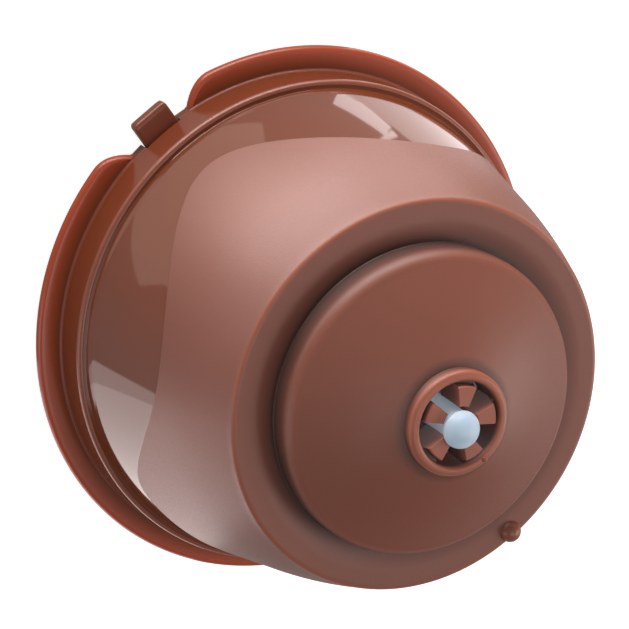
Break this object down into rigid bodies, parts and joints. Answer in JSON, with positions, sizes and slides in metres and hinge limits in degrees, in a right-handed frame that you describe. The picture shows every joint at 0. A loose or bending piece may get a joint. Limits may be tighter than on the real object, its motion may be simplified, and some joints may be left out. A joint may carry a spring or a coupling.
{
  "type": "refillable coffee pod",
  "caption": "Refillable moulded coffee pod: cup with notched flange and finned outlet nozzle, plug lid with pull tab, flow plate with guide pin, and fine screens.",
  "frame": {"origin": "centre of the lid's outer face, on the surface that the pod stands on head down", "axes": "+Z from the lid to the nozzle, -Y along the lid's pull tab"},
  "size_m": [0.054, 0.054, 0.0376],
  "materials": {
    "cup_plastic": "moulded brown polypropylene, glossy near the flange and spark-eroded matte above",
    "lid_plastic": "moulded brown polypropylene, smooth",
    "screen_steel": "fine woven stainless steel wire",
    "clear_plastic": "uncoloured polypropylene, milky and faintly blue"
  },
  "bodies": {
    "lid": {"lid": "lid_plastic", "lid_screen": "screen_steel"},
    "cup": {"cup": "cup_plastic", "flow_plate": "clear_plastic", "base_screen": "screen_steel"}
  },
  "joints": [
    {"name": "lid_release", "type": "slide", "parent": "lid", "child": "cup", "axis": [0, 0, 1], "range_m": [0, 0.012]}
  ]
}
